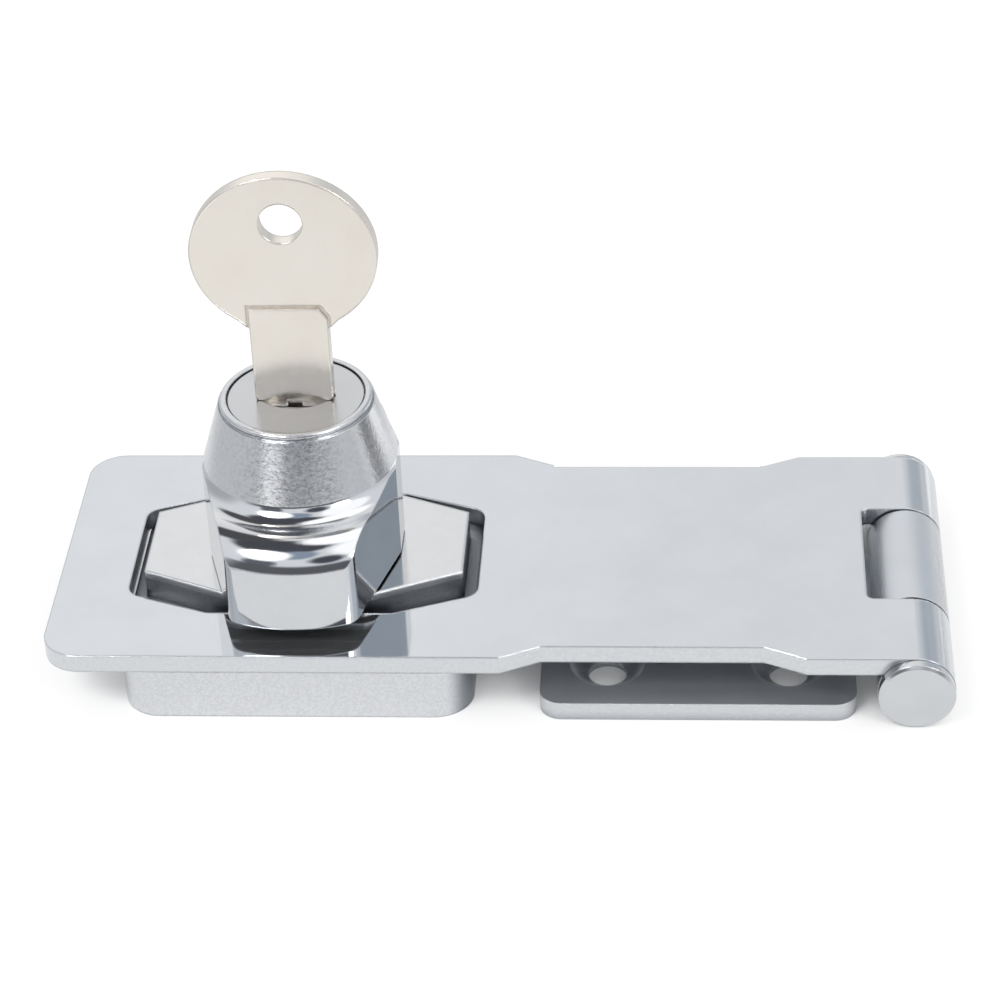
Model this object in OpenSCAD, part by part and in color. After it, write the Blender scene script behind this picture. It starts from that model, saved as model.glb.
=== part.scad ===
// Keyed hasp lock: a slotted strap closes over a turn knob that a key locks in place.
// The origin is on the knob's axis in the mounting plane, +X points to the hinge and +Z away from the door.

/* [Sheet parts] */
// Thickness of the sheet that the strap and the leaf are stamped from
sheet_t = 2.2; // [1.8:0.1:2.6]
// Width of the strap at its ends
strap_w = 40; // [38:0.5:46]
// Distance from the knob's axis to the strap's free end
strap_free = 28.3; // [26:0.1:34]
// Distance from the knob's axis to the hinge pin's axis
pin_reach = 69; // [68:0.5:80]
// Radius of the strap's outer corners
strap_corner = 4.2; // [2:0.1:6]
// Width of the strap's waist
waist_w = 35.8; // [30:0.1:37]
// Distance from the knob's axis to the start of the waist
waist_start = 27.6; // [26:0.1:29]
// Length of the waist's straight edge
waist_len = 24.7; // [15:0.1:26]
// Length of the slanted edge at each end of the waist
waist_slant = 4.6; // [3:0.1:6]
// Height of the rounded shoulder along the strap's upper edge
edge_soft = 0.5; // [0.2:0.1:0.8]

/* [Slot in the strap] */
// Length of the slot
slot_len = 40; // [39:0.1:42]
// Width of the slot at its ends
slot_end_w = 16.6; // [16:0.1:18]
// Width of the slot at its middle
slot_mid_w = 23.6; // [23.4:0.1:25]
// Length of the slot's widest stretch
slot_mid_len = 21; // [20:0.5:24]
// Radius of the slot's corners
slot_corner = 2.1; // [0.5:0.1:2.5]

/* [Hinge] */
// Half width of the leaf's knuckle
knuckle_half = 8.5; // [6:0.1:11]
// Gap between neighbouring knuckles
knuckle_gap = 0.3; // [0.2:0.05:0.5]
// Depth of the strap's notch behind the leaf's knuckle
notch_gap = 0.8; // [0.5:0.1:1.5]
// Radius of the notch's inner corners
notch_corner = 0.8; // [0.4:0.1:1.2]
// Radial clearance of the pin in the knuckles
pin_clear = 0.05; // [0.02:0.01:0.1]
// Gap where a rolled knuckle closes on its own sheet
roll_gap = 0.3; // [0.2:0.05:0.5]
// Thickness of the pin's head
pin_head_t = 1.4; // [0.8:0.1:1.8]
// Height of the dome on the pin's head
pin_dome = 0.35; // [0.2:0.05:0.6]
// Radius of the peened end of the pin
pin_peen_r = 4.1; // [3:0.05:4.2]
// Thickness of the peened end of the pin
pin_peen_t = 1.1; // [0.5:0.1:1.4]

/* [Leaf] */
// Length of the leaf's plate
leaf_len = 35.3; // [33:0.1:38]
// Distance from the strap's edge in to the leaf's
leaf_inset = 0; // [0:0.1:1]
// Gap between the leaf's plate and the strap's knuckles
leaf_gap = 2.1; // [1:0.1:3]
// Radius of the leaf's corners
leaf_corner = 2.5; // [1:0.1:4]
// Distance from the leaf's ends in to its screw holes
leaf_hole_in_x = 7.45; // [6.6:0.05:8.6]
// Distance from the leaf's sides in to its screw holes
leaf_hole_in_y = 7.5; // [6:0.1:9]
// Radius of the leaf's screw holes
leaf_hole_r = 2.2; // [1.8:0.1:2.6]
// Radius of the countersinks in the leaf
leaf_sink_r = 4.2; // [3.6:0.1:4.6]
// Depth of the countersinks in the leaf
leaf_sink_d = 1.5; // [1:0.1:1.6]

/* [Base] */
// Length of the base along the strap
base_len = 39.6; // [38:0.1:42]
// Distance from the strap's edge in to the base's
base_inset = 0.2; // [0:0.1:1]
// Height of the base under the strap
base_h = 6.4; // [6:0.1:8]
// Radius of the base's corners
base_corner = 4.4; // [2:0.1:5]
// Thickness of the base's walls
base_wall = 1.8; // [1.4:0.1:2.4]
// Distance from the base's ends in to its screw holes
base_hole_in_x = 5.6; // [5.3:0.1:6.3]
// Distance from the base's sides in to its screw holes
base_hole_in_y = 5.2; // [4.8:0.1:5.8]
// Radius of the base's screw holes
base_hole_r = 2.1; // [1.8:0.1:2.4]
// Radius of the countersinks in the base
base_sink_r = 3.9; // [3.4:0.1:4]
// Depth of the countersinks in the base
base_sink_d = 2; // [1.5:0.1:2.5]

/* [Boss] */
// Length of the eight-sided boss
boss_len = 36.5; // [34:0.1:37]
// Width of the boss at its ends
boss_end_w = 11.8; // [10:0.1:13]
// Width of the boss at its middle
boss_mid_w = 21.4; // [20:0.1:21.8]
// Length of the boss's widest stretch
boss_mid_len = 14.4; // [12:0.1:16]
// Height by which the boss stands proud of the strap
boss_proud = 1.5; // [1:0.1:3]

/* [Hub] */
// Wall of the hub round the bolt's pockets
hub_wall = 1.5; // [1:0.1:2]
// Height of the hub's lower face
hub_z = 2.9; // [2.8:0.1:3.2]
// Radial clearance of the knob's shank in the hub
shank_clear = 0.06; // [0.03:0.01:0.1]

/* [Knob] */
// Gap between the knob and the boss
knob_gap = 0.4; // [0.05:0.05:0.5]
// Height of the knob above the boss
knob_h = 19.8; // [18.8:0.1:24]
// Radius of the knob's rim
rim_r = 8.6; // [8.5:0.05:9.2]
// Height of the rim's rounded lip
rim_h = 0.7; // [0.5:0.05:1]
// Depth of the groove under the lip
rim_groove = 0.2; // [0.1:0.05:0.3]
// Radius of the cone just under the rim
cone_top_r = 8.85; // [8.8:0.05:9.6]
// Radius of the cone at its foot
cone_foot_r = 11; // [10.6:0.1:11.6]
// Height of the cone
cone_h = 7.1; // [6:0.1:8.5]
// Distance from the knob's axis to the middle of the shoulder
shoulder_r = 13.6; // [13:0.1:14.5]
// Drop from the cone's foot to the middle of the shoulder
shoulder_drop = 1.5; // [1:0.1:2]
// Depth of the hollow between the cone and the shoulder
scoop = 0.45; // [0.2:0.05:0.6]
// Distance from the knob's axis to the tip of its foot
foot_r = 17.6; // [16:0.1:18.5]
// Height of the foot's upright face
foot_h = 7.4; // [6.3:0.1:8.3]
// Bulge of the rounded face above the foot
foot_bulge = 0.8; // [0.3:0.1:1]
// Half width of the knob at its middle
knob_half_w = 11; // [10.6:0.1:11.4]
// Half length of the knob's straight sides
side_flat = 2.5; // [1.5:0.1:4]
// Half width of the knob's sides, carried on to the tip of the foot
foot_half_w = 6.6; // [6:0.1:7.5]
// Radius of the upright corners of the foot
foot_corner = 2.2; // [1:0.1:3]
// Radius of the knob's shank
shank_r = 7.1; // [6.9:0.05:7.2]
// Height of the shank's end above the mounting plane
shank_z = 0.4; // [0.2:0.1:0.5]

/* [Washers and clip] */
// Thickness of the stop washer
stop_t = 0.7; // [0.5:0.05:0.8]
// Radius of the stop washer
stop_r = 8.5; // [8.2:0.1:8.6]
// Reach of the stop washer's tab
stop_reach = 10.3; // [9.8:0.1:10.6]
// Angle that the tab spans
stop_tab = 24; // [16:1:30]
// Angle that the tab can still turn at each end of the knob's travel
stop_play = 2; // [1:0.5:3]
// Angle that each stop in the base spans
stop_lug_span = 20; // [14:1:26]
// Distance from the shank's axis to each flat that carries the stop washer
shank_flat = 6.4; // [6.2:0.05:6.6]
// Thickness of the spring washer's metal
spring_washer_t = 0.35; // [0.25:0.05:0.4]
// Thickness of the retaining clip
clip_t = 0.6; // [0.4:0.05:0.7]
// Radius of the groove that holds the clip
clip_groove_r = 6.1; // [6:0.05:6.3]
// Outer radius of the retaining clip
clip_r = 8.4; // [8:0.1:8.8]
// Angle of the clip's opening
clip_open = 70; // [50:5:90]
// Clearance between stacked or nested flat pieces
fit_gap = 0.05; // [0.03:0.01:0.1]

/* [Plug] */
// Radius of the plug's barrel
plug_r = 5.8; // [5.7:0.05:5.9]
// Radial clearance of the plug in the knob
plug_clear = 0.05; // [0.03:0.01:0.08]
// Radius of the plug's face
face_r = 7.65; // [7.4:0.05:7.8]
// Thickness of the plug's face
face_t = 1.2; // [1:0.1:1.6]
// Gap round the plug's face
face_gap = 0.2; // [0.1:0.05:0.25]
// Depth of the plug's face below the rim of the knob
face_sunk = 0.2; // [0.1:0.05:0.4]
// Half width of the dished mouth of the keyway
mouth_half = 2.6; // [1.5:0.1:2.8]
// Depth of the dished mouth of the keyway
mouth_d = 0.8; // [0.3:0.1:0.9]
// Reach of the mouth beyond each end of the keyway
mouth_over = 0.3; // [0.2:0.05:0.5]
// Metal between the bolt's channel and the plug's bore
channel_roof = 0.8; // [0.6:0.1:1.2]
// Distance from the plug's axis to its tail pin
tail_reach = 2; // [1.9:0.05:2.1]
// Radius of the tail pin
tail_r = 0.9; // [0.8:0.05:1]

/* [Wafers] */
// Thickness of each wafer
wafer_t = 1; // [0.8:0.05:1.2]
// Half width of each wafer
wafer_half_w = 3.2; // [3:0.05:3.4]
// Distance from one wafer to the next
wafer_pitch = 2.8; // [2.6:0.05:2.9]
// Height of the lowest wafer above the knob's foot
wafer_first = 4.3; // [4.2:0.1:4.6]
// Radius of the spring pockets
pocket_r = 0.75; // [0.7:0.05:0.8]
// Wall between a wafer's slot and its spring's pocket
pocket_wall = 0.3; // [0.2:0.05:0.4]
// Thickness of the lug that each spring pushes on
lug_t = 0.6; // [0.4:0.05:0.8]
// Length of the wafer springs
spring_len = 3.8; // [3:0.1:4]
// Radius of the springs' wire
wire_r = 0.15; // [0.1:0.01:0.18]
// Number of turns of each spring
spring_turns = 5; // [4:1:6]
// Height of the retaining wafer above the knob's foot
retain_up = 1.5; // [1.4:0.05:1.9]
// Reach of the retaining wafer beyond the plug
retain_reach = 0.7; // [0.4:0.05:0.8]

/* [Bolt] */
// Thickness of the bolt
bolt_t = 2.1; // [1.8:0.05:2.2]
// Half width of the bolt
bolt_half_w = 4.1; // [3.9:0.05:4.3]
// Length of the bolt behind the knob's axis
bolt_back = 5.5; // [5:0.1:5.6]
// Clearance of the tail pin in the bolt's slot
yoke_clear = 0.18; // [0.15:0.01:0.22]

/* [Key] */
// Thickness of the key's blade
key_t = 2; // [1.8:0.05:2.1]
// Thickness of the key's bow
bow_t = 1.6; // [1.4:0.05:1.8]
// Half width of the key's oval bow
bow_half_w = 10.3; // [9:0.05:12]
// Half height of the key's oval bow
bow_half_h = 9.65; // [8.5:0.05:12]
// Height of the bow's centre above the plug's face
bow_z = 18.5; // [17:0.1:22]
// Length of the flare where the bow runs into the neck
bow_flare = 1.3; // [0.5:0.1:2]
// Radius of the ring hole
ring_hole_r = 2.4; // [2:0.1:3]
// Height of the ring hole above the bow's centre
ring_hole_up = 4; // [2:0.1:5]
// Width of the key's neck
neck_w = 8.7; // [8.6:0.1:10]
// Height of the neck's stamped step above the plug's face
neck_top = 11.9; // [10:0.1:13]
// Chamfer at the corner of the stamped step
neck_chamfer = 1.3; // [0.5:0.1:2]
// Width of the line pressed round the step
step_line_w = 0.3; // [0.2:0.05:0.4]
// Depth of the line pressed round the step
step_line_d = 0.2; // [0.1:0.05:0.3]
// Gap between the key's shoulders and the plug's face
shoulder_gap = 0.3; // [0.2:0.05:0.6]
// Width of the key's blade
blade_w = 8.2; // [7.8:0.1:8.4]
// Length of the blade below the plug's face
blade_len = 16.8; // [16:0.1:17.2]
// Length of the blade's tapered tip
blade_tip = 1.5; // [1:0.1:2]
// Width that the tip loses on each side
blade_tip_w = 2; // [1:0.1:2.5]
// Clearance of the blade in the keyway
key_clear = 0.12; // [0.1:0.01:0.2]
// Depth of the deepest cut in the blade
cut_d = 1.1; // [0.6:0.1:1.3]
// Width of the groove milled along the blade
blade_groove_w = 1.6; // [1:0.1:2]
// Depth of the groove milled along the blade
blade_groove_d = 0.4; // [0.2:0.05:0.5]

/* [Hidden] */
$fn = 64;
SMALL = 0.01;
FAR = 200;
// Flats along a small rounded corner
ARC_STEPS = 6;
// Flats round the key's bow
BOW_STEPS = 96;
// Turn from the stop washer's tab to the nearer side of the knob's flats
TAB_TURN = 45;
WAFERS = 5;
// Depth of the blade's cut at each wafer, as a share of the deepest
CUTS = [0.6, 1, 0.3, 0.8, 0.5];

strap_z = base_h;
strap_top = base_h + sheet_t;
boss_top = strap_top + boss_proud;
barrel_r = strap_top / 2;
barrel_z = barrel_r;
bore_r = barrel_r - sheet_t;
pin_r = bore_r - pin_clear;
pin_head_r = barrel_r - pin_clear;
notch_half = knuckle_half + knuckle_gap;
notch_x = pin_reach - barrel_r - notch_gap;

leaf_w = strap_w - 2 * leaf_inset;
leaf_end = pin_reach - barrel_r - leaf_gap;
leaf_mid = leaf_end - leaf_len / 2;
leaf_holes = [leaf_len - 2 * leaf_hole_in_x, leaf_w - 2 * leaf_hole_in_y];

base_w = strap_w - 2 * base_inset;
base_holes = [base_len - 2 * base_hole_in_x, base_w - 2 * base_hole_in_y];
shank_hole = shank_r + shank_clear;
throw = sqrt(2) * tail_reach;
pocket_reach = shank_r + throw + 4 * fit_gap;
hub_r = pocket_reach + hub_wall;
spring_washer_z = hub_z - 2 * spring_washer_t;
stop_z = spring_washer_z - stop_t - fit_gap;
clip_z = stop_z - clip_t - fit_gap;
stop_lug_in = stop_r + 2 * fit_gap;
stop_lug_out = stop_reach + 2 * fit_gap;
stop_near = TAB_TURN + stop_tab / 2 + stop_play;
stop_far = stop_near + stop_lug_span;

knob_z = boss_top + knob_gap;
knob_top = knob_z + knob_h;
cone_top = knob_top - rim_h;
cone_foot = cone_top - cone_h;
foot_top = knob_z + foot_h;

plug_bore = plug_r + plug_clear;
face_z = knob_top - face_sunk;
face_low = face_z - face_t;
channel_low = hub_z + 8 * fit_gap;
bolt_z = channel_low + fit_gap;
channel_top = bolt_z + bolt_t + fit_gap;
plug_floor = channel_top + channel_roof;
plug_low = plug_floor + fit_gap;
tail_low = bolt_z + bolt_t / 5;

wafer_slot_t = wafer_t + 2 * fit_gap;
wafer_slot_half = wafer_half_w + fit_gap;
wafer_r = plug_r - fit_gap;
pocket_y = wafer_slot_half + pocket_r + pocket_wall;
pocket_back = spring_len / 2 + fit_gap;
lug_x = spring_len / 2 + fit_gap;
pocket_front = lug_x + lug_t + fit_gap;
retain_z = knob_z + retain_up;
retain_out = plug_r + retain_reach;

key_half = blade_w / 2;
keyway_half = key_half + key_clear;
keyway_t = key_t + 2 * key_clear;
blade_low = face_z - blade_len;

// A rectangle about the origin with round corners
module round_rect(size, r) {
    for (x = [-1, 1])
        for (y = [-1, 1])
            translate([x * (size[0] / 2 - r), y * (size[1] / 2 - r)])
                circle(r);
    square([size[0] - 2 * r, size[1]], center = true);
    square([size[0], size[1] - 2 * r], center = true);
}

// The corners of an octagon that is longer than it is wide
function long_octagon(length, end_w, mid_w, mid_len) = [
    [length / 2, -end_w / 2],
    [length / 2, end_w / 2],
    [mid_len / 2, mid_w / 2],
    [-mid_len / 2, mid_w / 2],
    [-length / 2, end_w / 2],
    [-length / 2, -end_w / 2],
    [-mid_len / 2, -mid_w / 2],
    [mid_len / 2, -mid_w / 2]
];

// Copies its children at the four corners of a rectangle
module at_corners(spacing) {
    for (x = [-1, 1])
        for (y = [-1, 1])
            translate([x * spacing[0] / 2, y * spacing[1] / 2])
                children();
}

// A screw hole with a countersink whose rim lies at height top
module screw_hole(hole_r, sink_r, sink_d, top) {
    translate([0, 0, -1])
        cylinder(r = hole_r, h = top + 2);
    translate([0, 0, top - sink_d])
        cylinder(r1 = hole_r, r2 = sink_r, h = sink_d);
    translate([0, 0, top - SMALL])
        cylinder(r = sink_r, h = 1);
}

// Base

module boss_outline(inset) {
    polygon(long_octagon(boss_len - 2 * inset, boss_end_w - 2 * inset, boss_mid_w - 2 * inset, boss_mid_len));
}

module bolt_pocket() {
    translate([0, -bolt_half_w - 2 * fit_gap, channel_low])
        cube([pocket_reach, 2 * bolt_half_w + 4 * fit_gap, channel_top - channel_low]);
}

// The part of a ring between two radii and two angles
module ring_sector(r_in, r_out, from, to, h) {
    rotate([0, 0, from])
        rotate_extrude(angle = to - from)
            translate([r_in, 0])
                square([r_out - r_in, h]);
}

module stop_lug(from, to) {
    translate([0, 0, stop_z - fit_gap])
        ring_sector(stop_lug_in, stop_lug_out + base_wall, from, to, hub_z - stop_z + 2 * fit_gap);
}

module base_core() {
    difference() {
        union() {
            translate([0, 0, -1])
                linear_extrude(base_h - base_wall + 1)
                    round_rect([base_len - 2 * base_wall, base_w - 2 * base_wall], base_corner - base_wall);
            translate([0, 0, 1])
                linear_extrude(boss_top - base_wall - 1)
                    boss_outline(base_wall);
        }
        translate([0, 0, hub_z])
            cylinder(r = hub_r, h = FAR);
        at_corners(base_holes)
            translate([0, 0, -2])
                cylinder(r = base_sink_r + base_wall / 4, h = FAR);
    }
}

module lock_base() {
    color([0.74, 0.75, 0.76])
        difference() {
            union() {
                linear_extrude(base_h)
                    round_rect([base_len, base_w], base_corner);
                linear_extrude(boss_top)
                    boss_outline(0);
            }
            difference() {
                base_core();
                stop_lug(-stop_far, -stop_near);
                stop_lug(stop_near, stop_far);
            }
            translate([0, 0, -1])
                cylinder(r = shank_hole, h = FAR);
            bolt_pocket();
            rotate([0, 0, 90])
                bolt_pocket();
            at_corners(base_holes)
                screw_hole(base_hole_r, base_sink_r, base_sink_d, base_h);
        }
}

// A dished washer between the hub and the stop washer
module spring_washer() {
    color([0.55, 0.56, 0.58])
        translate([0, 0, spring_washer_z])
            rotate_extrude()
                polygon([
                    [shank_hole + fit_gap, spring_washer_t],
                    [stop_r - 2 * fit_gap, 0],
                    [stop_r - 2 * fit_gap, spring_washer_t],
                    [shank_hole + fit_gap, 2 * spring_washer_t]
                ]);
}

// Strap and hinge

module strap_outline() {
    x0 = -strap_free;
    x1 = waist_start - waist_slant;
    x2 = waist_start + waist_len;
    half = strap_w / 2;
    waist = waist_w / 2;
    r = strap_corner;
    for (side = [-1, 1])
        translate([x0 + r, side * (half - r)])
            circle(r);
    translate([x0, -half + r])
        square([2 * r, 2 * half - 2 * r]);
    polygon([
        [x0 + r, -half], [x1, -half], [waist_start, -waist], [x2, -waist], [x2 + waist_slant, -half],
        [pin_reach, -half], [pin_reach, half], [x2 + waist_slant, half], [x2, waist],
        [waist_start, waist], [x1, half], [x0 + r, half]
    ]);
}

// Points along an arc
function arc(centre, r, from, to) = [
    for (i = [0 : ARC_STEPS])
        let (a = from + (to - from) * i / ARC_STEPS)
            centre + r * [cos(a), sin(a)]
];

// The points in the opposite order, mirrored where x or y is -1
function turned_back(points, x, y) = [
    for (i = [len(points) - 1 : -1 : 0])
        [x * points[i][0], y * points[i][1]]
];

// The slot: a long octagon whose end corners are round, drawn from one quarter of it
module slot_outline() {
    end_slant = atan2((slot_mid_w - slot_end_w) / 2, (slot_len - slot_mid_len) / 2);
    reach = slot_corner * tan((90 - end_slant) / 2);
    quarter = concat(
        arc([slot_len / 2 - slot_corner, slot_end_w / 2 - reach], slot_corner, 0, 90 - end_slant),
        [[slot_mid_len / 2, slot_mid_w / 2]]
    );
    upper = concat(quarter, turned_back(quarter, -1, 1));
    polygon(concat(upper, turned_back(upper, 1, -1)));
}

// The section of a rolled knuckle, closed on the sheet that it is rolled from, with the sheet above
module rolled_section() {
    difference() {
        union() {
            circle(barrel_r);
            translate([-barrel_r - notch_gap - 1, bore_r])
                square([barrel_r + notch_gap + 1, sheet_t]);
        }
        circle(bore_r);
        translate([-barrel_r - 1, bore_r - roll_gap])
            square([barrel_r + 1, roll_gap]);
        translate([-FAR, bore_r])
            square([FAR - barrel_r - notch_gap, FAR]);
    }
}

// A knuckle whose section lies across the pin between two places along it
module knuckle(from, to) {
    translate([pin_reach, to, barrel_z])
        rotate([90, 0, 0])
            linear_extrude(to - from)
                children();
}

// Rounds off the strap's upper edge along a straight line, with the strap to the line's left
module soft_edge(from, to) {
    along = to - from;
    translate([from[0], from[1], strap_top - edge_soft])
        rotate([0, 0, atan2(along[1], along[0])])
            rotate([90, 0, 90])
                linear_extrude(norm(along))
                    soft_edge_section();
}

module soft_edge_section() {
    polygon(concat(
        [[edge_soft, edge_soft + 1], [-1, edge_soft + 1], [-1, 0]],
        [for (a = [0 : 30 : 90]) edge_soft * [1 - cos(a), sin(a)]]
    ));
}

// Carries the soft edge round the end of the strap's knuckle
module soft_rim(side) {
    translate([pin_reach, side * (strap_w / 2 - edge_soft), barrel_z])
        rotate([side * -90, 0, 0])
            rotate([0, 0, side > 0 ? -90 : -150])
                rotate_extrude(angle = 240)
                    translate([barrel_r, 0])
                        mirror([1, 0])
                            soft_edge_section();
}

module soft_corner(side) {
    translate([-strap_free + strap_corner, side * (strap_w / 2 - strap_corner), strap_top - edge_soft])
        rotate([0, 0, side > 0 ? 90 : 180])
            rotate_extrude(angle = 90)
                translate([strap_corner, 0])
                    mirror([1, 0])
                        soft_edge_section();
}

module soft_edges() {
    half = strap_w / 2;
    x1 = waist_start - waist_slant;
    x2 = waist_start + waist_len;
    path = [
        [-strap_free + strap_corner, -half], [x1, -half], [waist_start, -waist_w / 2],
        [x2, -waist_w / 2], [x2 + waist_slant, -half], [pin_reach, -half]
    ];
    for (i = [0 : len(path) - 2]) {
        soft_edge(path[i], path[i + 1]);
        mirror([0, 1, 0])
            mirror([1, 0, 0])
                soft_edge([-path[i + 1][0], path[i + 1][1]], [-path[i][0], path[i][1]]);
    }
    soft_edge([-strap_free, half - strap_corner], [-strap_free, -half + strap_corner]);
    for (side = [-1, 1]) {
        soft_corner(side);
        soft_rim(side);
    }
}

module hasp_strap() {
    color([0.83, 0.85, 0.88])
        difference() {
            union() {
                translate([0, 0, strap_z])
                    linear_extrude(sheet_t)
                        strap_outline();
                knuckle(-strap_w / 2, -notch_half)
                    rolled_section();
                knuckle(notch_half, strap_w / 2)
                    rolled_section();
            }
            translate([0, 0, strap_z - 1])
                linear_extrude(sheet_t + 2)
                    slot_outline();
            translate([notch_x + FAR / 2, 0, -1])
                linear_extrude(strap_top + 2)
                    round_rect([FAR, 2 * notch_half], notch_corner);
            soft_edges();
        }
}

module hinge_pin() {
    half = strap_w / 2;
    color([0.80, 0.81, 0.83])
        translate([pin_reach, 0, barrel_z])
            rotate([90, 0, 0])
                rotate_extrude()
                    polygon([
                        [0, -half - pin_peen_t],
                        [pin_peen_r * 0.7, -half - pin_peen_t],
                        [pin_peen_r, -half - pin_peen_t / 2],
                        [pin_peen_r, -half - fit_gap],
                        [pin_r, -half - fit_gap],
                        [pin_r, half + fit_gap],
                        [pin_head_r, half + fit_gap],
                        [pin_head_r, half + pin_head_t - pin_dome],
                        [pin_head_r - pin_dome, half + pin_head_t - pin_dome / 3],
                        [pin_head_r / 2, half + pin_head_t],
                        [0, half + pin_head_t]
                    ]);
}

module hinge_leaf() {
    color([0.80, 0.82, 0.85])
        difference() {
            union() {
                translate([leaf_mid, 0])
                    linear_extrude(sheet_t)
                        round_rect([leaf_len, leaf_w], leaf_corner);
                translate([leaf_mid, -knuckle_half, 0])
                    cube([pin_reach - leaf_mid, 2 * knuckle_half, sheet_t]);
                knuckle(-knuckle_half, knuckle_half)
                    mirror([0, 1])
                        rolled_section();
            }
            translate([pin_reach, 0, barrel_z])
                rotate([90, 0, 0])
                    cylinder(r = bore_r, h = strap_w, center = true);
            translate([leaf_mid, 0])
                at_corners(leaf_holes)
                    screw_hole(leaf_hole_r, leaf_sink_r, leaf_sink_d, sheet_t);
        }
}

// Knob and what turns with it

// The turned form of the knob, from the rim down to the tip of the foot
module knob_profile() {
    shoulder = [shoulder_r, cone_foot - shoulder_drop];
    foot = [foot_r, foot_top];
    neck = [cone_foot_r, cone_foot];
    lip = rim_h / 2;
    difference() {
        polygon([
            [0, knob_z],
            [foot_r, knob_z],
            foot,
            shoulder,
            neck,
            [cone_top_r, cone_top],
            [rim_r - lip / 2, cone_top - rim_groove],
            [rim_r - lip / 2, knob_top - lip],
            [rim_r - lip, knob_top - lip],
            [rim_r - lip, knob_top],
            [0, knob_top]
        ]);
        bowed(shoulder, neck, scoop);
    }
    translate([rim_r - lip, knob_top - lip])
        circle(lip);
    bowed(shoulder, foot, foot_bulge);
}

// The part of a disc beside the chord between two points, bowed by rise to the left of it
module bowed(from, to, rise) {
    chord = to - from;
    across = [-chord[1], chord[0]] / norm(chord);
    r = (chord * chord / 4 + rise * rise) / (2 * rise);
    intersection() {
        translate((from + to) / 2 + (rise - r) * across)
            circle(r, $fn = 128);
        polygon([
            from - 2 * rise * across, to - 2 * rise * across,
            to + 2 * rise * across, from + 2 * rise * across
        ]);
    }
}

// The knob's outline seen from above, with round corners where the sides meet the turned tip
module knob_outline() {
    from = [knob_half_w, side_flat];
    along = ([foot_half_w, foot_r] - from) / norm([foot_half_w, foot_r] - from);
    inward = [-along[1], along[0]];
    start = from + foot_corner * inward;
    slide = start * along;
    reach = foot_r - foot_corner;
    corner = start + (sqrt(slide * slide - start * start + reach * reach) - slide) * along;
    touch = corner - foot_corner * inward;
    beyond = corner * (foot_r + 2) / norm(corner);
    for (turn = [0, 180])
        rotate(turn) {
            polygon([
                [-knob_half_w, 0], [knob_half_w, 0], from, touch, corner, beyond,
                [-beyond[0], beyond[1]], [-corner[0], corner[1]], [-touch[0], touch[1]], [-from[0], from[1]]
            ]);
            for (x = [-1, 1])
                translate([x * corner[0], corner[1]])
                    circle(foot_corner);
        }
}

module knob_body() {
    intersection() {
        rotate_extrude($fn = 96)
            knob_profile();
        translate([0, 0, knob_z - 1])
            linear_extrude(knob_h + 2)
                knob_outline();
    }
}

module knob() {
    color([0.80, 0.82, 0.85])
        difference() {
            union() {
                knob_body();
                translate([0, 0, shank_z])
                    cylinder(r = shank_r, h = knob_z - shank_z + 1);
            }
            translate([0, 0, plug_floor])
                cylinder(r = plug_bore, h = FAR);
            translate([0, 0, face_low - fit_gap])
                cylinder(r = face_r + face_gap, h = FAR);
            translate([0, 0, retain_z - wafer_slot_t / 2])
                cylinder(r = retain_out + 2 * fit_gap, h = wafer_slot_t);
            translate([0, 0, channel_low])
                cylinder(r = tail_reach + tail_r + yoke_clear, h = FAR);
            translate([-bolt_back - 2 * fit_gap, -bolt_half_w - fit_gap, channel_low])
                cube([FAR, 2 * bolt_half_w + 2 * fit_gap, channel_top - channel_low]);
            for (side = [-1, 1])
                translate([side > 0 ? shank_flat : -FAR - shank_flat, -FAR / 2, -1])
                    cube([FAR, FAR, stop_z + stop_t + fit_gap + 1]);
            translate([0, 0, clip_z - fit_gap])
                difference() {
                    cylinder(r = FAR / 4, h = clip_t + 2 * fit_gap);
                    translate([0, 0, -1])
                        cylinder(r = clip_groove_r, h = clip_t + 2);
                }
        }
}

module stop_washer() {
    color([0.62, 0.63, 0.65])
        translate([0, 0, stop_z])
            difference() {
                union() {
                    cylinder(r = stop_r, h = stop_t);
                    rotate([0, 0, -TAB_TURN])
                        ring_sector(stop_r - 1, stop_reach, -stop_tab / 2, stop_tab / 2, stop_t);
                }
                intersection() {
                    translate([0, 0, -1])
                        cylinder(r = shank_r + fit_gap, h = stop_t + 2);
                    translate([-shank_flat - fit_gap, -FAR / 2, -1])
                        cube([2 * (shank_flat + fit_gap), FAR, stop_t + 2]);
                }
            }
}

module retaining_clip() {
    color([0.5, 0.51, 0.53])
        translate([0, 0, clip_z])
            ring_sector(clip_groove_r + fit_gap, clip_r, clip_open / 2, 360 - clip_open / 2, clip_t);
}

// Plug and what turns with it

function wafer_z(i) = knob_z + wafer_first + i * wafer_pitch;

// Slot across the plug for one wafer, with its spring's pocket on one side
module wafer_slot(z, side) {
    translate([-FAR / 2, -wafer_slot_half, z - wafer_slot_t / 2])
        cube([FAR, 2 * wafer_slot_half, wafer_slot_t]);
    mirror([0, side > 0 ? 0 : 1])
        translate([-pocket_back, wafer_slot_half - 1, z - wafer_slot_t / 2])
            cube([pocket_back + pocket_front, pocket_y + pocket_r - wafer_slot_half + 1, wafer_slot_t]);
    translate([-pocket_back, side * pocket_y, z])
        rotate([0, 90, 0])
            cylinder(r = pocket_r, h = pocket_back + pocket_front);
}

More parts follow.
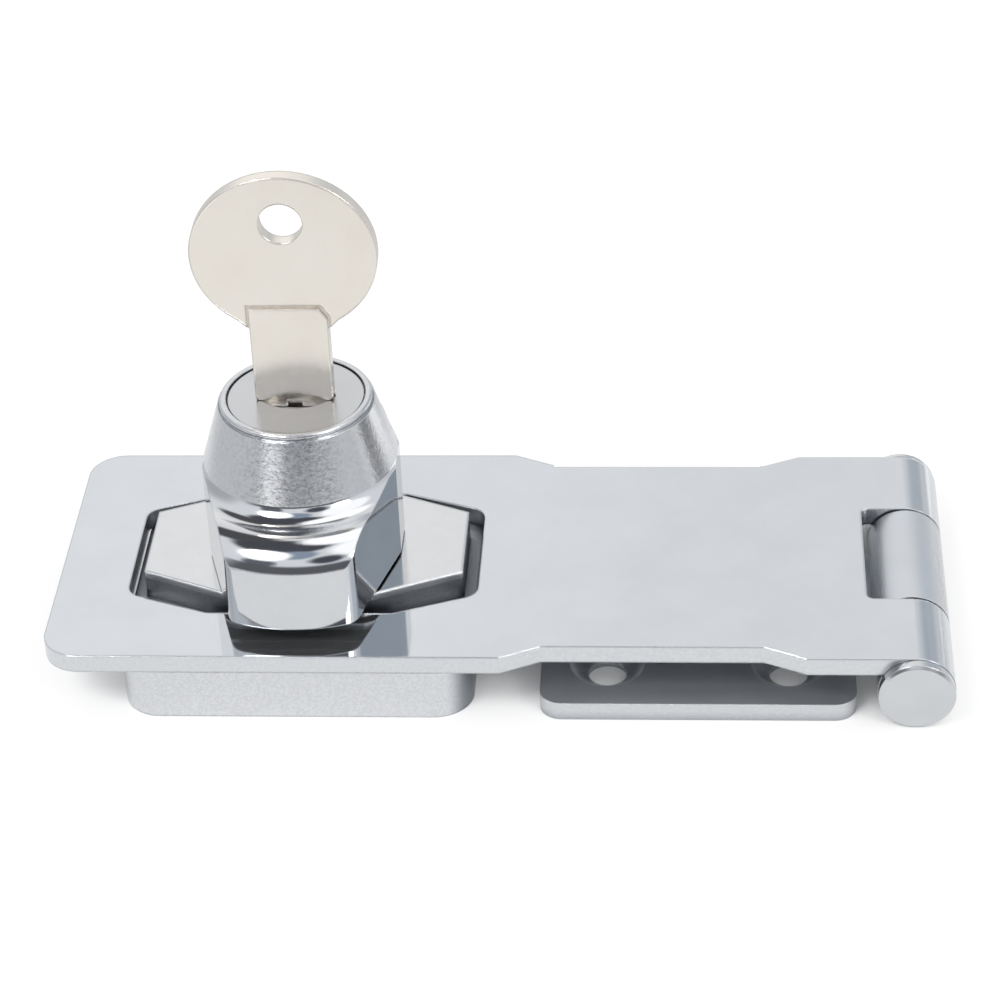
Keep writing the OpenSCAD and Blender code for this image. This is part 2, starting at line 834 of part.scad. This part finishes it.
module lock_plug() {
    color([0.84, 0.83, 0.80])
        difference() {
            union() {
                translate([0, 0, plug_low])
                    cylinder(r = plug_r, h = face_z - plug_low);
                translate([0, 0, face_low])
                    cylinder(r = face_r, h = face_t);
                rotate([0, 0, 135])
                    translate([tail_reach, 0, tail_low])
                        cylinder(r = tail_r, h = plug_low - tail_low + 1);
            }
            translate([-keyway_half, -keyway_t / 2, blade_low - 1])
                cube([2 * keyway_half, keyway_t, FAR]);
            keyway_mouth();
            for (i = [0 : WAFERS - 1])
                wafer_slot(wafer_z(i), i % 2 == 0 ? 1 : -1);
            wafer_slot(retain_z, -1);
        }
}

// Lens-shaped dish where the key goes in
module keyway_mouth() {
    reach = keyway_half + mouth_over;
    lens_r = (reach * reach + mouth_half * mouth_half) / (2 * mouth_half);
    translate([0, 0, face_z - mouth_d])
        linear_extrude(FAR)
            intersection() {
                translate([0, lens_r - mouth_half])
                    circle(lens_r, $fn = 128);
                translate([0, mouth_half - lens_r])
                    circle(lens_r, $fn = 128);
            }
}

// A flat wafer with a window for the blade and a lug that its spring pushes on
module wafer(z, side, reach) {
    translate([0, 0, z - wafer_t / 2])
        difference() {
            union() {
                intersection() {
                    translate([-wafer_r - reach, -wafer_half_w, 0])
                        cube([2 * wafer_r + reach, 2 * wafer_half_w, wafer_t]);
                    union() {
                        cylinder(r = wafer_r, h = wafer_t);
                        translate([-reach, 0, 0])
                            cylinder(r = wafer_r, h = wafer_t);
                    }
                }
                mirror([0, side > 0 ? 0 : 1])
                    translate([lug_x, 0, 0])
                        cube([lug_t, pocket_y + pocket_r / 2, wafer_t]);
            }
            translate([-keyway_half, -keyway_t / 2, -1])
                cube([2 * keyway_half, keyway_t, wafer_t + 2]);
        }
}

// A round wire wound along X
module coil(coil_r, length, turns) {
    around = 10;
    sides = 5;
    count = around * turns;
    pitch = length / turns;
    function ring(i) = [
        for (j = [0 : sides - 1])
            let (a = 360 * i / around, b = 360 * j / sides, r = coil_r + wire_r * cos(b))
                [pitch * i / around + wire_r * sin(b), r * cos(a), r * sin(a)]
    ];
    function band(i) = [
        for (j = [0 : sides - 1])
            let (k = (j + 1) % sides)
                each [
                    [i * sides + j, (i + 1) * sides + k, i * sides + k],
                    [i * sides + j, (i + 1) * sides + j, (i + 1) * sides + k]
                ]
    ];
    polyhedron(
        points = [for (i = [0 : count]) each ring(i)],
        faces = concat(
            [for (j = [2 : sides - 1]) [0, j - 1, j]],
            [for (i = [0 : count - 1]) each band(i)],
            [for (j = [2 : sides - 1]) [count * sides, count * sides + j, count * sides + j - 1]]
        )
    );
}

// The spring between the pocket's end and the wafer's lug
module wafer_spring(z, side) {
    translate([wire_r - spring_len / 2, side * pocket_y, z])
        coil(pocket_r - wire_r - fit_gap, spring_len - 2 * wire_r, spring_turns);
}

module lock_bolt() {
    slot_x = -throw / 2;
    slot_y = tail_reach * (1 + sqrt(0.5)) / 2;
    slot_half = tail_reach * (1 - sqrt(0.5)) / 2 + tail_r + yoke_clear;
    color([0.66, 0.62, 0.5])
        translate([0, 0, bolt_z])
            difference() {
                intersection() {
                    translate([-bolt_back, -bolt_half_w, 0])
                        cube([FAR, 2 * bolt_half_w, bolt_t]);
                    cylinder(r = shank_r - fit_gap, h = bolt_t);
                }
                translate([slot_x - tail_r - yoke_clear, slot_y - slot_half, -1])
                    cube([2 * (tail_r + yoke_clear), 2 * slot_half, bolt_t + 2]);
            }
}

// Key

// The blade's outline, with a cut on both edges at each wafer
module blade_outline() {
    difference() {
        polygon([
            [-key_half, face_z + shoulder_gap + 1],
            [-key_half, blade_low + blade_tip],
            [-key_half + blade_tip_w, blade_low],
            [key_half - blade_tip_w, blade_low],
            [key_half, blade_low + blade_tip],
            [key_half, face_z + shoulder_gap + 1]
        ]);
        for (i = [0 : WAFERS - 1])
            for (side = [-1, 1])
                translate([side * key_half, wafer_z(i)])
                    polygon([
                        [side * SMALL, -wafer_t / 2 - CUTS[i] * cut_d],
                        [-side * CUTS[i] * cut_d, -wafer_t / 2],
                        [-side * CUTS[i] * cut_d, wafer_t / 2],
                        [side * SMALL, wafer_t / 2 + CUTS[i] * cut_d]
                    ]);
    }
}

// The neck's outline, grown by a margin
module neck_outline(margin) {
    low = face_z + shoulder_gap;
    top = face_z + neck_top + margin;
    half = neck_w / 2 + margin;
    polygon([
        [-half, low],
        [half, low],
        [half, top - neck_chamfer],
        [half - 0.7 * neck_chamfer, top],
        [-half, top]
    ]);
}

// The oval bow, with a flare on each side where it runs into the neck
module bow_outline() {
    middle = face_z + bow_z;
    side = neck_w / 2 + bow_flare;
    drop = bow_half_h * sqrt(1 - pow(side / bow_half_w, 2));
    polygon([
        for (i = [0 : BOW_STEPS - 1])
            let (a = 360 * i / BOW_STEPS)
                [bow_half_w * cos(a), middle + bow_half_h * sin(a)]
    ]);
    polygon([
        [-side, middle - drop + SMALL], [-neck_w / 2, middle - drop - bow_flare],
        [neck_w / 2, middle - drop - bow_flare], [side, middle - drop + SMALL],
        [0, middle]
    ]);
}

// A flat shape drawn in X and Z, with its thickness centred on a distance in front of the blade
module upright(t, at = 0) {
    rotate([90, 0, 0])
        translate([0, 0, at - t / 2])
            linear_extrude(t)
                children();
}

module key() {
    color([0.86, 0.84, 0.79])
        difference() {
            union() {
                upright(key_t)
                    blade_outline();
                upright(key_t)
                    neck_outline(0);
                difference() {
                    upright(bow_t)
                        bow_outline();
                    for (side = [-1, 1])
                        upright(2 * step_line_d, side * bow_t / 2)
                            neck_outline(step_line_w);
                }
            }
            translate([0, 0, face_z + bow_z + ring_hole_up])
                rotate([90, 0, 0])
                    cylinder(r = ring_hole_r, h = FAR, center = true);
            for (side = [-1, 1])
                translate([
                    -blade_groove_w / 2,
                    side > 0 ? key_t / 2 - blade_groove_d : -key_t / 2 - FAR + blade_groove_d,
                    blade_low - 1
                ])
                    cube([blade_groove_w, FAR, blade_len + 1]);
        }
}

module wafer_node(i) {
    color([0.8, 0.7, 0.42])
        wafer(wafer_z(i), i % 2 == 0 ? 1 : -1, 0);
}

module wafer_spring_node(i) {
    color([0.7, 0.71, 0.73])
        wafer_spring(wafer_z(i), i % 2 == 0 ? 1 : -1);
}

module retaining_wafer() {
    color([0.8, 0.7, 0.42])
        wafer(retain_z, -1, retain_reach);
}

module retaining_spring() {
    color([0.7, 0.71, 0.73])
        wafer_spring(retain_z, -1);
}

lock_base();
spring_washer();
hasp_strap();
hinge_pin();
hinge_leaf();
knob();
stop_washer();
retaining_clip();
lock_plug();
for (i = [0 : WAFERS - 1]) {
    wafer_node(i);
    wafer_spring_node(i);
}
retaining_wafer();
retaining_spring();
lock_bolt();
key();
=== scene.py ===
"""Looks of the keyed hasp lock: mirror chrome on steel sheet and zinc castings, with a nickel key."""

import math

import bpy
from mathutils import Matrix, Vector

MM = 0.001

# Camera, from the photograph's perspective
VIEW_AZIMUTH = 4.666
VIEW_ELEVATION = 34.522
VIEW_ROLL = -2.61
VIEW_TARGET = Vector((20.93, 11.32, 8.79)) * MM
VIEW_DISTANCE = 374.76 * MM
VIEW_LENS = 115.2
SENSOR = 36.0
NEAREST_SEEN = 10 * MM

# Heights above the mounting plane at which a finish changes, and at which the painted shade in the slot and
# the painted highlight on the boss's lip begin
CONE_FOOT_Z = 22.5 * MM
BASE_TOP_Z = 6.4 * MM
STRAP_TOP_Z = 8.6 * MM
BOSS_HIGHLIGHT_Z = 9.2 * MM

# Rays that each rounded edge and each gap test casts
RAYS = 6
# How far the gap test looks, on the lock and on the floor
GAP_REACH = 2.5 * MM
SHADOW_REACH = 12 * MM

WHITE = (1, 1, 1, 1)

# Noise patterns: scale per metre, detail, roughness
ROLLED_WAVES = (55.0, 1.0, 0.4)
TORN_STEEL = (2600.0, 4.0, 0.75)
SHEET_STAIN = (140.0, 3.0, 0.6)
ORANGE_PEEL = (1900.0, 3.0, 0.6)
CAST_SPECKS = (2000.0, 5.0, 0.75)
CAST_STAIN = (260.0, 3.0, 0.6)
ZINC_SKIN = (2600.0, 4.0, 0.65)
ZINC_STAIN = (420.0, 4.0, 0.65)
ZINC_GRIT = (3400.0, 2.0, 0.6)
FINE_GRAIN = (900.0, 3.0, 0.6)
FINE_STAIN = (150.0, 2.0, 0.5)
BRUSH_LINES = (4200.0, 3.0, 0.6)
NICKEL_CLOUDS = (180.0, 3.0, 0.55)

# Colours: the two that a pattern goes between, or a single one
SHEET_FACE = ((0.58, 0.605, 0.635, 1), (0.65, 0.67, 0.695, 1))
SHEET_EDGE = ((0.56, 0.575, 0.59, 1), (0.76, 0.775, 0.79, 1))
# Painted shade for sheet edges deep in a gap
SHEET_GAP_SHADE = (0.22, 0.24, 0.27, 1)
CAST_CHROME = ((0.60, 0.61, 0.63, 1), (0.68, 0.69, 0.705, 1))
# The knob's specks, which also paint a dark reflection on its side facing -Y
CAST_SPECK_AND_DARK_REFLECTION = (0.36, 0.365, 0.38, 1)
BASE_SKIN = ((0.64, 0.65, 0.665, 1), (0.72, 0.73, 0.745, 1))
BASE_FACE = ((0.61, 0.62, 0.635, 1), (0.69, 0.70, 0.71, 1))
# Painted shade on the base's ends facing +X
BASE_END_SHADE = (0.25, 0.27, 0.295, 1)
# Painted highlight round the boss's lip
BASE_LIP_HIGHLIGHT = (0.93, 0.935, 0.94, 1)
# Painted shade in the gap between the boss and the strap's slot
BASE_GAP_SHADE = (0.10, 0.11, 0.125, 1)
KEY_NICKEL = ((0.77, 0.715, 0.645, 1), (0.84, 0.80, 0.74, 1))
PIN_CHROME = ((0.58, 0.595, 0.61, 1), (0.68, 0.69, 0.7, 1))
PLUG_CHROME = ((0.51, 0.52, 0.535, 1), (0.60, 0.605, 0.615, 1))
BOLT_STEEL = ((0.5, 0.51, 0.52, 1), (0.6, 0.61, 0.62, 1))
SPRING_STEEL = ((0.5, 0.5, 0.51, 1), (0.6, 0.6, 0.61, 1))
WAFER_BRASS = ((0.66, 0.48, 0.22, 1), (0.78, 0.6, 0.32, 1))

# The room that metal sees: low and high wall, and the dark band behind the camera
ROOM_WALL = ((0.72, 0.74, 0.77, 1), (0.95, 0.97, 1, 1))
ROOM_BAND = (0.14, 0.145, 0.16, 1)
# Patches in it: azimuth and elevation, full and fading radius in degrees, colour
ROOM_PATCHES = [
    (95, 40, 22, 45, (1, 1, 1)),
    (112, 30, 12, 20, (1.1, 1.1, 1.1)),
    (52, 32, 8, 26, (0.48, 0.54, 0.60)),
    (60, 20, 3, 9, (0.55, 0.58, 0.62)),
    (172, 8, 8, 36, (0.55, 0.57, 0.59)),
    (-145, 78, 18, 24, (0.09, 0.095, 0.11)),
    (142, 62, 9, 15, (0.10, 0.10, 0.11)),
    (-95, 58, 9, 14, (0.34, 0.41, 0.51)),
    (40, 75, 12, 18, (1.6, 1.6, 1.6)),
    (-25, 52, 16, 24, (1.5, 1.5, 1.5)),
    (-68, 38, 7, 14, (0.09, 0.095, 0.12)),
    (-120, 30, 8, 14, (0.16, 0.17, 0.20)),
    (-124, 52, 12, 17, (1.7, 1.7, 1.7)),
]

# The floor that metal sees, a painted reflection: pale within a box round the lock, and grey beyond it
FLOOR_NEAR = (0.93, 0.94, 0.95, 1)
FLOOR_FAR = (0.62, 0.635, 0.655, 1)
FLOOR_CENTRE = (22 * MM, -43 * MM)
FLOOR_HALF_BOX = (52 * MM, 65 * MM)
FLOOR_FADE = (22 * MM, 48 * MM)
# Painted light and shade far off on it, bright patches for soft boxes and dark ones for flags: azimuth from
# the knob, full and fading angle, colour
FLOOR_PATCHES = [
    (-84, 8, 22, (0.36, 0.37, 0.39)),
    (-118, 6, 13, (1.7, 1.7, 1.7)),
    (1, 3, 6, (1.1, 1.1, 1.1)),
    (15, 9, 13, (0.01, 0.012, 0.015)),
    (37, 7, 11, (1.4, 1.4, 1.4)),
]
# The floor itself, and how much of its white is its own to the camera and to metal
FLOOR_HALF = 3.0
FLOOR_PAINT = (0.9, 0.9, 0.9, 1)
OWN_TO_CAMERA = 0.72
OWN_TO_METAL = 0.85

# Lamps: name, place, aim, size in metres, power in watts
LAMPS = [
    ("key_light", (-0.35, -0.45, 0.75), (0.0, 0.0, 0.01), 0.35, 3.0),
    ("fill_light", (0.6, -0.5, 0.5), (0.02, 0.0, 0.01), 0.3, 1.5),
]


def towards(azimuth, elevation):
    """The unit vector at an azimuth from +X and an elevation, in degrees."""
    a = math.radians(azimuth)
    e = math.radians(elevation)
    return (math.cos(a) * math.cos(e), math.sin(a) * math.cos(e), math.sin(e))


def place_camera():
    """The photograph's camera, whose azimuth is taken from -Y."""
    back = Vector(towards(VIEW_AZIMUTH - 90, VIEW_ELEVATION))
    right = Vector(towards(VIEW_AZIMUTH, 0))
    up = back.cross(right)
    r = math.radians(VIEW_ROLL)
    side = right * math.cos(r) + up * math.sin(r)
    top = up * math.cos(r) - right * math.sin(r)
    data = bpy.data.cameras.new("camera")
    data.sensor_width = SENSOR
    data.lens = VIEW_LENS
    data.clip_start = NEAREST_SEEN
    camera = bpy.data.objects.new("camera", data)
    turn = Matrix((side, top, back)).transposed()
    camera.matrix_world = Matrix.Translation(VIEW_TARGET + back * VIEW_DISTANCE) @ turn.to_4x4()
    bpy.context.scene.collection.objects.link(camera)
    bpy.context.scene.camera = camera


class Nodes:
    """A node tree with short calls to add and join nodes."""

    def __init__(self, tree):
        self.tree = tree
        tree.nodes.clear()

    def add(self, kind, settings=None, **inputs):
        node = self.tree.nodes.new(kind)
        for name, value in (settings or {}).items():
            setattr(node, name, value)
        for name, value in inputs.items():
            self.put(node, name, value)
        return node

    def put(self, node, socket, value):
        """Sets an input to a number or colour, or joins it to an output."""
        target = node.inputs[socket]
        if isinstance(value, bpy.types.NodeSocket):
            self.tree.links.new(value, target)
        else:
            target.default_value = value

    def put_all(self, node, *values):
        """Fills a node's inputs from the first one on."""
        for i, value in enumerate(values):
            self.put(node, i, value)

    def math(self, operation, a, b=0.0, clamp=False):
        node = self.add("ShaderNodeMath", {"operation": operation, "use_clamp": clamp})
        self.put_all(node, a, b)
        return node.outputs[0]

    def blend(self, factor, a, b):
        """The colour a where factor is 0 and b where it is 1."""
        node = self.add("ShaderNodeMix", {"data_type": "RGBA"}, Factor=factor)
        self.put(node, 6, a)
        self.put(node, 7, b)
        return node.outputs[2]

    def step(self, value, low, high, to_low=0.0, to_high=1.0):
        """Goes smoothly from to_low to to_high while value goes from low to high."""
        node = self.add("ShaderNodeMapRange", {"interpolation_type": "SMOOTHSTEP"})
        self.put_all(node, value, low, high, to_low, to_high)
        return node.outputs[0]

    def noise(self, pattern, place):
        """A noise pattern at this place, about 0 to 1."""
        scale, detail, roughness = pattern
        node = self.add("ShaderNodeTexNoise", Scale=scale, Detail=detail, Roughness=roughness, Vector=place)
        return node.outputs["Fac"]

    def place(self):
        return self.add("ShaderNodeTexCoord").outputs["Object"]

    def facing(self, axis):
        """How far the piece's own surface, unrounded, faces along one of its axes, -1 to 1."""
        return self.part(self.add("ShaderNodeTexCoord").outputs["Normal"], axis)

    def part(self, vector, axis):
        return self.add("ShaderNodeSeparateXYZ", Vector=vector).outputs[axis]

    def rays(self, kind):
        """1 for a ray of this kind, such as Camera or Glossy, and 0 for others."""
        return self.add("ShaderNodeLightPath").outputs[f"Is {kind} Ray"]

    def finish(self, kind, shader):
        """Ends the tree with an output node of this kind."""
        self.add(kind, Surface=shader.outputs[0])


def new_material(name):
    material = bpy.data.materials.new(name)
    material.use_nodes = True
    return material, Nodes(material.node_tree)


def dress(node, material):
    """Gives a CAD node's object this one material."""
    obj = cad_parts[node]
    obj.data.materials.clear()
    obj.data.materials.append(material)


def metal_output(n, colour, roughness, normal, metallic=1.0):
    shader = n.add("ShaderNodeBsdfPrincipled", Metallic=metallic, Roughness=roughness, Normal=normal)
    n.put(shader, "Base Color", colour)
    n.finish("ShaderNodeOutputMaterial", shader)


def soft_normal(n, radius):
    """The surface's normal, rounded over at sharp edges."""
    return n.add("ShaderNodeBevel", {"samples": RAYS}, Radius=radius).outputs[0]


def open_to_light(n, distance):
    """1 where nothing stands within the distance, and near 0 deep in a narrow gap."""
    return n.add("ShaderNodeAmbientOcclusion", {"samples": RAYS}, Distance=distance).outputs["AO"]


def bumps(n, height, strength, distance, normal):
    node = n.add("ShaderNodeBump", Strength=strength, Distance=distance, Height=height, Normal=normal)
    return node.outputs[0]


def invert(n, value):
    return n.math("SUBTRACT", 1.0, value)


def stained_roughness(n, base, stain, share):
    """A roughness that a stain raises by up to this share."""
    return n.math("ADD", base, n.math("MULTIPLY", stain, share))


def chromed_sheet(name, top_rough, edge_radius, grain):
    """Chrome on rolled steel: long faint waves, torn grain on the sheared edges, satin below, and painted
    shade on edges deep in a narrow gap.
    """
    material, n = new_material(name)
    place = n.place()
    up = n.facing("Z")
    flat = n.step(n.math("ABSOLUTE", up), 0.55, 0.9)
    below = n.step(up, -0.8, -0.5, 1.0, 0.0)
    rolled = bumps(n, n.noise(ROLLED_WAVES, place), 0.35, 0.02 * MM, soft_normal(n, edge_radius))
    torn = n.noise(TORN_STEEL, place)
    normal = bumps(n, n.math("MULTIPLY", torn, invert(n, flat)), grain, 0.12 * MM, rolled)
    stain = n.noise(SHEET_STAIN, place)
    colour = n.blend(flat, n.blend(torn, *SHEET_EDGE), n.blend(stain, *SHEET_FACE))
    # Painted shade: edges that stand deep in a narrow gap, never flat faces, take the dark gap colour.
    open_edge = n.step(open_to_light(n, GAP_REACH), 0.35, 0.75)
    colour = n.blend(n.math("MAXIMUM", open_edge, flat), SHEET_GAP_SHADE, colour)
    rough = stained_roughness(n, n.step(flat, 0, 1, 0.24, top_rough), stain, 0.03)
    rough = n.math("MAXIMUM", rough, n.math("MULTIPLY", below, 0.5))
    metal_output(n, colour, rough, normal, 0.94)
    return material


def chromed_casting(name):
    """The knob: polished and plated, with an orange peel and faint specks on its tapered head, the specks
    denser on the side facing -Y as a painted dark reflection.
    """
    material, n = new_material(name)
    place = n.place()
    head = n.step(n.part(place, "Z"), CONE_FOOT_Z - 0.2 * MM, CONE_FOOT_Z + 0.2 * MM)
    # Painted reflection: the specks grow denser where the head faces -Y, standing in for a dark reflection
    # there.
    front = n.step(n.facing("Y"), -0.98, -0.7, 1.0, 0.0)
    peel = n.math("MULTIPLY", n.noise(ORANGE_PEEL, place), head)
    normal = bumps(n, peel, 0.65, 0.055 * MM, soft_normal(n, 0.22 * MM))
    stain = n.noise(CAST_STAIN, place)
    specks_and_dark_reflection = n.step(n.noise(CAST_SPECKS, place), 0.4, 0.8)
    specks_and_dark_reflection = n.math("MULTIPLY", specks_and_dark_reflection, n.math("MULTIPLY", head, n.math("ADD", 0.3, front)), clamp=True)
    colour = n.blend(specks_and_dark_reflection, n.blend(stain, *CAST_CHROME), CAST_SPECK_AND_DARK_REFLECTION)
    rough = stained_roughness(n, n.step(head, 0, 1, 0.05, 0.2), stain, 0.04)
    metal_output(n, colour, rough, normal)
    return material


def cast_zinc(name):
    """The base: satin plating over a fine cast skin, with a polished top on the boss, a painted highlight
    round the boss's lip, and painted shade on its ends facing +X and in the slot's gap.
    """
    material, n = new_material(name)
    place = n.place()
    height = n.part(place, "Z")
    boss = n.step(height, STRAP_TOP_Z, STRAP_TOP_Z + 1.3 * MM)
    top = n.math("MULTIPLY", boss, n.step(n.facing("Z"), 0.6, 0.95))
    skin = n.noise(ZINC_SKIN, place)
    normal = bumps(n, n.math("MULTIPLY", skin, invert(n, top)), 0.7, 0.06 * MM, soft_normal(n, 0.5 * MM))
    stain = n.noise(ZINC_STAIN, place)
    grit = n.step(n.noise(ZINC_GRIT, place), 0.35, 0.65)
    colour = n.blend(top, n.blend(grit, *BASE_SKIN), n.blend(stain, *BASE_FACE))
    # Painted shade: faces turned towards +X are darkened.
    colour = n.blend(n.step(n.facing("X"), 0.35, 0.85), colour, BASE_END_SHADE)
    # Painted highlight: a pale band with a ragged lower edge round the top of the boss's sides
    ragged = n.math("ADD", height, n.math("MULTIPLY", n.math("SUBTRACT", skin, 0.5), 0.5 * MM))
    lip_highlight = n.step(ragged, BOSS_HIGHLIGHT_Z - 0.1 * MM, BOSS_HIGHLIGHT_Z + 0.1 * MM)
    colour = n.blend(n.math("MULTIPLY", lip_highlight, invert(n, top)), colour, BASE_LIP_HIGHLIGHT)
    # And painted shade darkens the gap between it and the strap's slot
    in_slot = n.step(height, BASE_TOP_Z - 0.3 * MM, BASE_TOP_Z - 0.1 * MM)
    closed = n.step(open_to_light(n, GAP_REACH), 0.55, 0.85, 1.0, 0.0)
    gap_shade = n.math("MULTIPLY", n.math("MULTIPLY", closed, in_slot), invert(n, lip_highlight))
    colour = n.blend(gap_shade, colour, BASE_GAP_SHADE)
    rough = stained_roughness(n, n.step(top, 0, 1, 0.26, 0.08), stain, 0.1)
    metal_output(n, colour, rough, normal)
    return material


def satin_metal(name, colours, rough):
    """A plain metal piece with a fine even grain."""
    material, n = new_material(name)
    place = n.place()
    stain = n.noise(FINE_STAIN, place)
    normal = bumps(n, n.noise(FINE_GRAIN, place), 0.3, 0.03 * MM, soft_normal(n, 0.12 * MM))
    metal_output(n, n.blend(stain, *colours), stained_roughness(n, rough, stain, 0.08), normal)
    return material


def brushed_nickel(name):
    """The key: warm nickel plate over stamped brass, with fine lines along it."""
    material, n = new_material(name)
    place = n.place()
    stretched = n.add("ShaderNodeMapping", Scale=(1.0, 1.0, 0.08), Vector=place).outputs[0]
    lines = n.noise(BRUSH_LINES, stretched)
    normal = bumps(n, lines, 0.22, 0.03 * MM, soft_normal(n, 0.4 * MM))
    colour = n.blend(n.noise(NICKEL_CLOUDS, place), *KEY_NICKEL)
    metal_output(n, colour, stained_roughness(n, 0.2, lines, 0.1), normal)
    return material


def dress_all():
    """Gives every CAD node its material."""
    steel = satin_metal("spring_steel", SPRING_STEEL, 0.25)
    brass = satin_metal("brass", WAFER_BRASS, 0.28)
    dress("hasp_strap", chromed_sheet("chromed_sheet", 0.045, 0.4 * MM, 0.15))
    dress("hinge_leaf", chromed_sheet("chromed_leaf", 0.42, 0.2 * MM, 1.0))
    dress("hinge_pin", satin_metal("chromed_pin", PIN_CHROME, 0.2))
    dress("knob", chromed_casting("chromed_casting"))
    dress("lock_base", cast_zinc("cast_zinc"))
    dress("lock_plug", satin_metal("plug_metal", PLUG_CHROME, 0.2))
    dress("lock_bolt", satin_metal("bolt_metal", BOLT_STEEL, 0.35))
    dress("key", brushed_nickel("nickel_key"))
    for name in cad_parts:
        if name.endswith("washer") or name == "retaining_clip" or "spring" in name:
            dress(name, steel)
        elif "wafer" in name:
            dress(name, brass)


def patch(n, direction, azimuth, elevation, inner, outer):
    """1 within inner degrees of a direction, falling to 0 at outer degrees."""
    dot = n.add("ShaderNodeVectorMath", {"operation": "DOT_PRODUCT"})
    n.put_all(dot, direction, towards(azimuth, elevation))
    return n.step(dot.outputs["Value"], math.cos(math.radians(outer)), math.cos(math.radians(inner)))


def light_world():
    """A white room. Metal also sees its grey walls, the dark behind the camera, flags and soft boxes."""
    world = bpy.data.worlds.new("studio")
    bpy.context.scene.world = world
    world.use_nodes = True
    n = Nodes(world.node_tree)
    direction = n.add("ShaderNodeTexCoord").outputs["Generated"]
    height = n.part(direction, "Z")
    room = n.blend(n.step(height, 0.05, 0.5), *ROOM_WALL)
    for azimuth, elevation, inner, outer, tone in ROOM_PATCHES:
        room = n.blend(patch(n, direction, azimuth, elevation, inner, outer), room, (*tone, 1))
    band = n.math("MULTIPLY", n.step(height, 0.03, 0.09), n.step(height, 0.36, 0.45, 1.0, 0.0))
    front = n.step(n.part(direction, "Y"), -0.75, -0.4, 1.0, 0.0)
    room = n.blend(n.math("MULTIPLY", band, front), room, ROOM_BAND)
    background = n.add("ShaderNodeBackground", Strength=1.0, Color=n.blend(n.rays("Glossy"), WHITE, room))
    n.finish("ShaderNodeOutputWorld", background)


def beyond(n, place, axis, centre, half):
    """How far a place lies beyond a half width from the centre, along one axis."""
    off = n.math("ABSOLUTE", n.math("SUBTRACT", n.part(place, axis), centre))
    return n.math("MAXIMUM", n.math("SUBTRACT", off, half), 0.0)


def floor_painted_reflection(n):
    """What metal sees of the floor: a painted reflection, pale round the lock and grey beyond, with bright
    and dark patches.
    """
    place = n.place()
    beside, before = (
        n.math("POWER", beyond(n, place, axis, centre, half), 2.0)
        for axis, centre, half in zip("XY", FLOOR_CENTRE, FLOOR_HALF_BOX)
    )
    away = n.math("SQRT", n.math("ADD", beside, before))
    direction = n.add("ShaderNodeVectorMath", {"operation": "NORMALIZE"})
    n.put(direction, 0, place)
    tone = FLOOR_FAR
    for azimuth, inner, outer, shade in FLOOR_PATCHES:
        tone = n.blend(patch(n, direction.outputs[0], azimuth, 0, inner, outer), tone, (*shade, 1))
    return n.blend(n.step(away, *FLOOR_FADE), FLOOR_NEAR, tone)


def own_light(n):
    """How much of the floor's white is its own, less where the lock stands over it, as a painted shadow
    seen by the camera and by metal.
    """
    metal = n.math("MAXIMUM", n.rays("Glossy"), n.rays("Transmission"))
    own = n.math(
        "MAXIMUM",
        n.math("MULTIPLY", n.rays("Camera"), OWN_TO_CAMERA),
        n.math("MULTIPLY", metal, OWN_TO_METAL),
    )
    sheltered = open_to_light(n, SHADOW_REACH)
    to_camera = n.step(sheltered, 0.2, 0.5, 0.05, 1.0)
    off_metal = n.step(sheltered, 0.38, 0.62, 0.15, 1.0)
    outside_painted_shadow = n.math("MINIMUM", to_camera, n.math("MAXIMUM", off_metal, n.rays("Camera")))
    return n.math("MULTIPLY", own, outside_painted_shadow)


def lay_floor():
    """A wide pale floor in the mounting plane."""
    corners = [(x * FLOOR_HALF, y * FLOOR_HALF, 0) for x, y in ((-1, -1), (1, -1), (1, 1), (-1, 1))]
    mesh = bpy.data.meshes.new("floor")
    mesh.from_pydata(corners, [], [(0, 1, 2, 3)])
    floor = bpy.data.objects.new("floor", mesh)
    bpy.context.scene.collection.objects.link(floor)
    material, n = new_material("pale_floor")
    plain = n.add("ShaderNodeBsdfDiffuse", Color=FLOOR_PAINT)
    seen = n.blend(n.rays("Glossy"), WHITE, floor_painted_reflection(n))
    white = n.add("ShaderNodeEmission", Strength=1.0, Color=seen)
    mix = n.add("ShaderNodeMixShader")
    n.put_all(mix, own_light(n), plain.outputs[0], white.outputs[0])
    n.finish("ShaderNodeOutputMaterial", mix)
    mesh.materials.append(material)


def soft_lamp(name, place, aim, size, power):
    data = bpy.data.lights.new(name, "AREA")
    data.shape = "DISK"
    data.size = size
    data.energy = power
    lamp = bpy.data.objects.new(name, data)
    lamp.location = place
    lamp.rotation_mode = "QUATERNION"
    lamp.rotation_quaternion = (Vector(aim) - Vector(place)).to_track_quat("-Z", "Y")
    bpy.context.scene.collection.objects.link(lamp)


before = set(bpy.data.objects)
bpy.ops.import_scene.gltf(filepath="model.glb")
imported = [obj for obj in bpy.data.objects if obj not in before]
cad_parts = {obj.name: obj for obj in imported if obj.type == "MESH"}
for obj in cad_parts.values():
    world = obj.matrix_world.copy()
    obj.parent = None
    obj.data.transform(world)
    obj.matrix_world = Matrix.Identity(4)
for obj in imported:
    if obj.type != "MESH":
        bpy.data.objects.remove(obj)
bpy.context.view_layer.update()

place_camera()
dress_all()
light_world()
lay_floor()
for lamp_row in LAMPS:
    soft_lamp(*lamp_row)
bpy.context.scene.view_settings.view_transform = "Standard"
